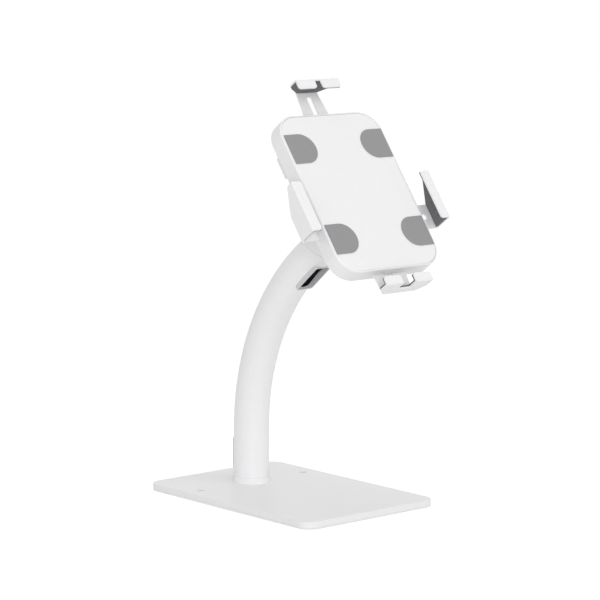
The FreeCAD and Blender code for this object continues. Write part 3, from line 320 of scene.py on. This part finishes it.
# %% Rubber and foam
pad_rubber, tree, shader, place = new_material("grey_silicone_sheet", Roughness=0.62, IOR=1.43)
add_grain(tree, shader, place, grain_mm=0.8, depth_mm=0.02, colours=("929294", "989899"))

foam, tree, shader, place = new_material("dark_closed_cell_foam", Roughness=0.85, IOR=1.4)
add_grain(tree, shader, place, grain_mm=0.5, depth_mm=0.09, colours=("68686A", "7A7A7D"), detail=4.0)

STUD_PITCH_MM = 3.0
STUD_HEIGHT_MM = 0.3
STUD_TOP_RADIUS = 0.25
STUD_FOOT_RADIUS = 0.35
mat_rubber, tree, shader, place = new_material("black_nitrile_rubber", Roughness=0.7, IOR=1.52)
add_grain(tree, shader, place, grain_mm=0.4, depth_mm=0.02, colours=("1A1A1B", "242425"))
studs = add_node(tree, "ShaderNodeTexVoronoi", {"Vector": place, "Scale": 1 / (STUD_PITCH_MM * MM),
                                                "Randomness": 0.0}, voronoi_dimensions="2D")
height = add_node(tree, "ShaderNodeMapRange", {"Value": studs.outputs["Distance"],
                                               "From Min": STUD_TOP_RADIUS, "From Max": STUD_FOOT_RADIUS,
                                               "To Min": 1.0, "To Max": 0.0})
stud_bump = add_node(tree, "ShaderNodeBump", {"Height": height.outputs["Result"], "Strength": 1.0,
                                              "Distance": STUD_HEIGHT_MM * MM})
tree.links.new(stud_bump.outputs["Normal"], shader.inputs["Normal"])
print("studs on the mat are", STUD_PITCH_MM, "mm apart")

# %% [markdown]
# ## Soft pieces from the CAD solids
#
# Each soft piece has the outline of its CAD solid, but a real one has no knife edges: a die-cut pad
# has rounded rims and stands a little higher in its middle, and foam gives at its edges. One could
# model them anew, but a copy of the CAD mesh already fits. Its loose triangles are merged, flat faces
# are made whole again, and the rims are bevelled. A crown is made by extruding the face that shows,
# twice, each time raised a little and made a little smaller.

# %% Helpers for soft pieces
MERGE_MM = 0.001
FLAT_WITHIN_DEG = 1
ROUND_FROM_DEG = 40
RIM_SEGMENTS = 3
SOFT_SHARP_FROM_DEG = 35


def merged_copy(node):
    """A CAD node's mesh as a bmesh with shared vertices and whole flat faces."""
    shape = bmesh.new()
    shape.from_mesh(frame["nodes"][node].data)
    bmesh.ops.remove_doubles(shape, verts=shape.verts, dist=MERGE_MM * MM)
    bmesh.ops.dissolve_limit(shape, angle_limit=math.radians(FLAT_WITHIN_DEG), verts=shape.verts,
                             edges=shape.edges)
    return shape


def soften(shape, rim_mm):
    """Rounds all edges where two faces turn by more than ROUND_FROM_DEG."""
    sharp = [edge for edge in shape.edges if len(edge.link_faces) == 2
             and edge.calc_face_angle(0) > math.radians(ROUND_FROM_DEG)]
    bmesh.ops.bevel(shape, geom=sharp, offset=rim_mm * MM, segments=RIM_SEGMENTS, profile=0.5,
                    affect="EDGES", clamp_overlap=True)


def seat(mesh, name, sharp_from_deg, body, node):
    """Makes a smooth piece of the mesh. It rides on a body and stands for a CAD node."""
    for polygon in mesh.polygons:
        polygon.use_smooth = True
    mesh.set_sharp_from_angle(angle=math.radians(sharp_from_deg))
    piece = bpy.data.objects.new(name, mesh)
    bpy.context.scene.collection.objects.link(piece)
    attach(piece, body)
    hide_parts(node)
    return piece


def piece_from(shape, name, material, body, node):
    """Turns the bmesh into a seated piece with this material."""
    mesh = bpy.data.meshes.new(name)
    shape.to_mesh(mesh)
    shape.free()
    mesh.materials.append(material)
    print(name, "has", len(mesh.polygons), "faces")
    return seat(mesh, name, SOFT_SHARP_FROM_DEG, body, node)


# %% [markdown]
# ## Grip pads
#
# Four D-shaped pads of soft rubber keep a tablet from sliding on the panel. They are glued on, so the
# back is flat, and the face that shows has a slight crown.

# %% Grip pads
PAD_RIM_MM = 0.35
# How close to outward a face looks to be the one that shows, as the cosine of its angle.
FACING = 0.99
# Each step: its share of the last one's size, and its rise in millimetres.
CROWN_STEPS = ((0.92, 0.05), (0.85, 0.03))


def crown(shape, outward):
    """Raises the largest face that looks outward in steps, each a share of the last one's size."""
    facing = [face for face in shape.faces if face.normal.dot(outward) > FACING]
    top = max(facing, key=lambda face: face.calc_area())
    middle = top.calc_center_median()
    for share, rise_mm in CROWN_STEPS:
        top = bmesh.ops.extrude_discrete_faces(shape, faces=[top])["faces"][0]
        for vertex in top.verts:
            vertex.co = middle + (vertex.co - middle) * share + outward * rise_mm * MM


for level in ("upper", "lower"):
    for side in ("left", "right"):
        shape = merged_copy("grip_pad_" + level + "_" + side)
        soften(shape, PAD_RIM_MM)
        crown(shape, HEAD_OUT)
        pad = piece_from(shape, "soft_pad_" + level + "_" + side, pad_rubber, "head",
                         "grip_pad_" + level + "_" + side)

# %% [markdown]
# ## Foam linings
#
# Each claw is lined on its wall and behind its lips, so that the steel doesn't scratch the tablet. The
# foam is cut from sheet and folded into the claw. It follows the steel, so the CAD outline is kept and
# only the rims are rounded.

# %% Foam linings
FOAM_RIM_MM = 0.5

for claw in ("top", "bottom", "left", "right"):
    shape = merged_copy(claw + "_lining")
    soften(shape, FOAM_RIM_MM)
    lining = piece_from(shape, "foam_" + claw, foam, claw + "_claw", claw + "_lining")

# %% [markdown]
# ## Base mat
#
# A thin rubber mat under the plate keeps the stand from sliding and marking the desk. It is moulded
# flat, so only its rim is rounded, and the studs of its underside come from the material.

# %% Base mat
MAT_RIM_MM = 0.3

shape = merged_copy("base_mat")
soften(shape, MAT_RIM_MM)
piece_from(shape, "rubber_mat", mat_rubber, "stand", "base_mat")

# %% [markdown]
# ## Screws by Geometry Nodes
#
# All the screws are the same idea in other sizes: a shank, a head that may be tapered, a broken edge
# and a hexagonal socket. Instead of modelling each, one node tree builds a screw from named sizes and
# sets it on every point of a small helper mesh, along the direction that the point carries. The points
# and directions are read from the CAD solids, so each screw sits exactly where the CAD model has it.

# %% Where the screws are


def solids_of(node):
    """The separate solids of a CAD node, each as a list of points."""
    shape = merged_copy(node)
    left = set(shape.verts)
    solids = []
    while left:
        reached = [left.pop()]
        for vertex in reached:
            neighbours = {edge.other_vert(vertex) for edge in vertex.link_edges} & left
            left -= neighbours
            reached += neighbours
        solids.append([vertex.co.copy() for vertex in reached])
    shape.free()
    return solids


def outer_end(points, axis):
    """The middle of a screw's outer end: midway across it in two directions, at its furthest reach."""
    side = axis.orthogonal().normalized()
    middle = Vector()
    for direction in (side, axis.cross(side)):
        reach = [point.dot(direction) for point in points]
        middle += direction * (min(reach) + max(reach)) / 2
    return middle + axis * max(point.dot(axis) for point in points)


print("screws in the foot:", len(solids_of("foot_screws")))

# %% [markdown]
# ## The screw tree
#
# A screw is four round steps one below the other: a broken edge, the head, a taper and the shank. Each
# is a Mesh Cone node, which is a cylinder where both radii are equal. A boolean joins them and another
# takes the socket out. The points' own `axis` attribute turns each instance, and Realize Instances
# makes real faces of them, because an export has no instances.

# %% Build the screw tree
ROUND_SIDES = 40
SOCKET_SIDES = 6
SCREW_SIZES = ("Shank Radius", "Length", "Head Radius", "Head Height", "Taper", "Edge", "Socket Size",
               "Socket Depth")


def arithmetic(tree, operation, first, second):
    """Socket with the result of one sum."""
    return add_node(tree, "ShaderNodeMath", {0: first, 1: second}, operation=operation).outputs[0]


def round_step(tree, sides, low_radius, high_radius, depth, reach_down):
    """One round step of a screw, whose lower end lies this far below the screw's outer face."""
    step = add_node(tree, "GeometryNodeMeshCone", {"Vertices": sides, "Radius Bottom": low_radius,
                                                   "Radius Top": high_radius, "Depth": depth})
    down = add_node(tree, "ShaderNodeCombineXYZ", {"Z": arithmetic(tree, "MULTIPLY", reach_down, -1.0)})
    return add_node(tree, "GeometryNodeTransform", {"Geometry": step.outputs["Mesh"],
                                                    "Translation": down.outputs[0]}).outputs[0]


def screw_tree():
    """Node tree that sets a hexagon socket screw on each point."""
    tree = bpy.data.node_groups.new("hexagon_socket_screws", "GeometryNodeTree")
    tree.interface.new_socket("Geometry", in_out="INPUT", socket_type="NodeSocketGeometry")
    for name in SCREW_SIZES:
        tree.interface.new_socket(name, in_out="INPUT", socket_type="NodeSocketFloat")
    tree.interface.new_socket("Material", in_out="INPUT", socket_type="NodeSocketMaterial")
    tree.interface.new_socket("Geometry", in_out="OUTPUT", socket_type="NodeSocketGeometry")
    given = add_node(tree, "NodeGroupInput").outputs
    shank, head, edge = given["Shank Radius"], given["Head Radius"], given["Edge"]
    taper_end = arithmetic(tree, "ADD", given["Head Height"], given["Taper"])
    steps = [
        round_step(tree, ROUND_SIDES, head, arithmetic(tree, "SUBTRACT", head, edge), edge, edge),
        round_step(tree, ROUND_SIDES, head, head, arithmetic(tree, "SUBTRACT", given["Head Height"], edge),
                   given["Head Height"]),
        round_step(tree, ROUND_SIDES, shank, head, given["Taper"], taper_end),
        round_step(tree, ROUND_SIDES, shank, shank, arithmetic(tree, "SUBTRACT", given["Length"], taper_end),
                   given["Length"]),
    ]
    body = add_node(tree, "GeometryNodeMeshBoolean", {"Mesh 2": steps}, operation="UNION")
    corner_radius = arithmetic(tree, "DIVIDE", given["Socket Size"], math.sqrt(3))
    twice_depth = arithmetic(tree, "MULTIPLY", given["Socket Depth"], 2.0)
    socket = round_step(tree, SOCKET_SIDES, corner_radius, corner_radius, twice_depth, given["Socket Depth"])
    screw = add_node(tree, "GeometryNodeMeshBoolean", {"Mesh 1": body.outputs[0], "Mesh 2": [socket]},
                     operation="DIFFERENCE")
    axis = add_node(tree, "GeometryNodeInputNamedAttribute", {"Name": "axis"}, data_type="FLOAT_VECTOR")
    turn = add_node(tree, "FunctionNodeAlignRotationToVector", {"Vector": axis.outputs["Attribute"]},
                    axis="Z")
    placed = add_node(tree, "GeometryNodeInstanceOnPoints", {"Points": given["Geometry"],
                                                             "Instance": screw.outputs[0],
                                                             "Rotation": turn.outputs[0]})
    real = add_node(tree, "GeometryNodeRealizeInstances", {"Geometry": placed.outputs[0]})
    finished = add_node(tree, "GeometryNodeSetMaterial", {"Geometry": real.outputs[0],
                                                          "Material": given["Material"]})
    add_node(tree, "NodeGroupOutput", {"Geometry": finished.outputs[0]})
    return tree


SCREWS = screw_tree()
print("the screw tree has", len(SCREWS.nodes), "nodes")

# %% [markdown]
# ## Set the screws
#
# A mesh with one vertex for each screw carries the tree as a modifier. The tree's inputs are set by
# their identifiers, the result is turned into a plain mesh, and the helper is deleted. The length comes
# from the CAD solid, and the other sizes are those of M6, M5 and M4 screws.

# %% Place a group of screws
SCREW_SHARP_FROM_DEG = 30


def screws_for(node, axis_of, sizes_mm, material, body, sunk_mm=0.0):
    """Replaces a CAD node of screws. axis_of(points) gives the direction out of a screw's socket."""
    solids = solids_of(node)
    axes = [axis_of(points) for points in solids]
    ends = [outer_end(points, axis) - axis * sunk_mm * MM for points, axis in zip(solids, axes)]
    reach = [point.dot(axes[0]) for point in solids[0]]
    sizes = dict(sizes_mm, Length=(max(reach) - min(reach)) / MM - sunk_mm)
    mesh = bpy.data.meshes.new(node + "_points")
    mesh.from_pydata(ends, [], [])
    numbers = [number for axis in axes for number in axis]
    mesh.attributes.new("axis", "FLOAT_VECTOR", "POINT").data.foreach_set("vector", numbers)
    helper = bpy.data.objects.new(node + "_points", mesh)
    bpy.context.scene.collection.objects.link(helper)
    modifier = helper.modifiers.new("screws", "NODES")
    modifier.node_group = SCREWS
    for item in SCREWS.interface.items_tree:
        if item.in_out == "INPUT" and item.name in sizes:
            modifier[item.identifier] = sizes[item.name] * MM
        elif item.in_out == "INPUT" and item.name == "Material":
            modifier[item.identifier] = material
    seen = helper.evaluated_get(bpy.context.evaluated_depsgraph_get())
    plain = bpy.data.meshes.new_from_object(seen)
    bpy.data.objects.remove(helper)
    seat(plain, "socket_screws_" + node, SCREW_SHARP_FROM_DEG, body, node)
    print(len(ends), "screws for", node, "with", len(plain.polygons), "faces")


def screw_sizes(shank_d, head_d, head, taper, edge, socket, socket_depth):
    """Sizes for the tree, from diameters and heights in millimetres."""
    return {"Shank Radius": shank_d / 2, "Head Radius": head_d / 2, "Head Height": head, "Taper": taper,
            "Edge": edge, "Socket Size": socket, "Socket Depth": socket_depth}


# %% [markdown]
# ## The four groups of screws
#
# Countersunk screws come up through the base into the post, pan heads hold the rear cover from inside
# the head, and wide heads guide and clamp the arms. The two set screws have no head: they are sunk a
# little in the tube's wall, and point at the neck's middle line, from which their direction is found.

# %% Foot, cover, guide and set screws
DOWN = Vector((0, 0, -1))
NECK_LEAN_DEG = 58.0
SET_SCREW_SUNK_MM = 0.35
NECK_ALONG = Vector((0, -math.sin(math.radians(NECK_LEAN_DEG)), math.cos(math.radians(NECK_LEAN_DEG))))


def away_from_neck(points):
    """Direction from the neck's middle line to a solid's middle."""
    offset = sum(points, Vector()) / len(points) - PIVOT
    return (offset - NECK_ALONG * offset.dot(NECK_ALONG)).normalized()


screws_for("foot_screws", lambda points: DOWN,
           screw_sizes(shank_d=6.0, head_d=11.6, head=0.2, taper=2.65, edge=0.1, socket=4.0,
                       socket_depth=2.2),
           zinc, "stand")
screws_for("cover_screws", lambda points: HEAD_OUT,
           screw_sizes(shank_d=4.0, head_d=7.5, head=2.3, taper=0.1, edge=0.5, socket=2.5, socket_depth=1.5),
           zinc, "head")
screws_for("guide_screws", lambda points: HEAD_OUT,
           screw_sizes(shank_d=5.0, head_d=9.0, head=2.9, taper=0.1, edge=0.6, socket=3.0, socket_depth=1.8),
           zinc, "head")
screws_for("neck_set_screws", away_from_neck,
           screw_sizes(shank_d=4.9, head_d=4.9, head=0.5, taper=0.1, edge=0.25, socket=2.5,
                       socket_depth=2.2),
           black_oxide, "stand", sunk_mm=SET_SCREW_SUNK_MM)

# %% [markdown]
# ## Camera
#
# The photograph was taken from the left of the stand and a little above it, from so far away that
# upright lines stay upright. Its place and lens were found by matching the edges of the base and of the
# head, so these values are the result of that fit. The focal length in pixels of the 600 pixel picture
# gives the lens for Blender's 36 mm sensor.

# %% Camera
FOCAL_PX = 2678.03
IMAGE_PX = 600
SENSOR_MM = 36.0
CAMERA_PLACE = (-2.02369, -2.35929, 0.68275)
CAMERA_BACK = Vector((-0.64727, -0.74887, 0.14224)).normalized()

camera_right = Vector((0, 0, 1)).cross(CAMERA_BACK).normalized()
camera_turn = Matrix((camera_right, CAMERA_BACK.cross(camera_right), CAMERA_BACK)).transposed()
camera = bpy.data.objects.new("camera", bpy.data.cameras.new("camera"))
camera.data.sensor_width = SENSOR_MM
camera.data.lens = FOCAL_PX / IMAGE_PX * SENSOR_MM
camera.matrix_world = Matrix.Translation(CAMERA_PLACE) @ camera_turn.to_4x4()
bpy.context.scene.collection.objects.link(camera)
bpy.context.scene.camera = camera
print("lens:", round(camera.data.lens, 1), "mm")

# %% [markdown]
# ## A white floor that keeps the shadow
#
# The photograph has a pure white ground. More lamp light would only bleach the white stand, so the
# floor and the world are made white for the camera alone: Light Path tells a ray that the camera sees,
# or that reaches it by a mirror or through glass, from one that lights the stand. The floor adds just
# enough glow to its own light to reach white, so that the faint shadow round the base stays.

# %% Floor and world
FLOOR_Z = -0.0002
FLOOR_REACH = 6
FLOOR_WHITE = "E6E6E6"
FLOOR_GLOW = 0.52
WORLD_LIGHT = 0.62


def seen_ray(tree):
    """Socket that is 1 for what the camera sees, directly, in a reflection or through glass."""
    path = add_node(tree, "ShaderNodeLightPath").outputs
    mirrored = add_node(tree, "ShaderNodeMath", {0: path["Is Camera Ray"], 1: path["Is Glossy Ray"]},
                        operation="MAXIMUM")
    return add_node(tree, "ShaderNodeMath", {0: mirrored.outputs[0], 1: path["Is Transmission Ray"]},
                    operation="MAXIMUM").outputs[0]


floor_mesh = bpy.data.meshes.new("floor")
corners = [(x * FLOOR_REACH, y * FLOOR_REACH, FLOOR_Z) for x, y in ((-1, -1), (1, -1), (1, 1), (-1, 1))]
floor_mesh.from_pydata(corners, [], [(0, 1, 2, 3)])
floor = bpy.data.objects.new("floor", floor_mesh)
bpy.context.scene.collection.objects.link(floor)
floor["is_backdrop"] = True
floor_white, tree, shader, place = new_material("white_floor", Roughness=0.9, Specular_IOR_Level=0.0,
                                                Emission_Color=(1, 1, 1, 1))
shader.inputs["Base Color"].default_value = linear(FLOOR_WHITE)
glow = add_node(tree, "ShaderNodeMath", {0: seen_ray(tree), 1: FLOOR_GLOW}, operation="MULTIPLY")
tree.links.new(glow.outputs[0], shader.inputs["Emission Strength"])
floor_mesh.materials.append(floor_white)

world = bpy.data.worlds.new("studio")
bpy.context.scene.world = world
world.use_nodes = True
background = world.node_tree.nodes["Background"]
background.inputs["Color"].default_value = (1, 1, 1, 1)
strength = add_node(world.node_tree, "ShaderNodeMapRange", {"Value": seen_ray(world.node_tree),
                                                            "To Min": WORLD_LIGHT, "To Max": 1.0})
world.node_tree.links.new(strength.outputs["Result"], background.inputs["Strength"])
print("floor and world are white for the camera")

# %% [markdown]
# ## Lamps
#
# Product photographs of white objects are lit by large soft boxes, so that the shadows have no edge.
# The tube is brightest along its middle in the photograph, so the strongest box stands low beside the
# camera. One high on the right lifts the panel, one overhead the top of the base, and a weak one on the
# left keeps the side of the head from turning grey. The strengths come from rendering with one lamp at
# a time and comparing tones with the photograph, and are a compromise: no set of them met every tone.

# %% Soft boxes
AIM = Vector((0, -0.05, 0.25))
LAMPS = {
    "front_box": ((-2.0, -2.6, 0.7), 1.2, 32.0),
    "right_box": ((1.2, -2.6, 2.0), 1.6, 10.0),
    "left_box": ((-2.8, -0.6, 1.2), 1.6, 2.0),
    "top_box": ((0.3, 0.2, 3.0), 2.0, 9.0),
}

for name, (position, size, watts) in LAMPS.items():
    lamp = bpy.data.objects.new(name, bpy.data.lights.new(name, "AREA"))
    lamp.data.size = size
    lamp.data.energy = watts
    lamp.location = position
    lamp.rotation_euler = (AIM - lamp.location).to_track_quat("-Z", "Y").to_euler()
    bpy.context.scene.collection.objects.link(lamp)
    print(name, "gives", watts, "W")

bpy.context.scene.view_settings.view_transform = "Standard"

# %% [markdown]
# ## Sizes, and the end
#
# The dressed stand must be as large as the CAD model. Its box is measured, and its size along each
# axis is printed.

# %% Measure and finish
seen_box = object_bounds()
for axis, least, most in zip("XYZ", *seen_box):
    print(axis, round((most - least) / MM, 1), "mm")
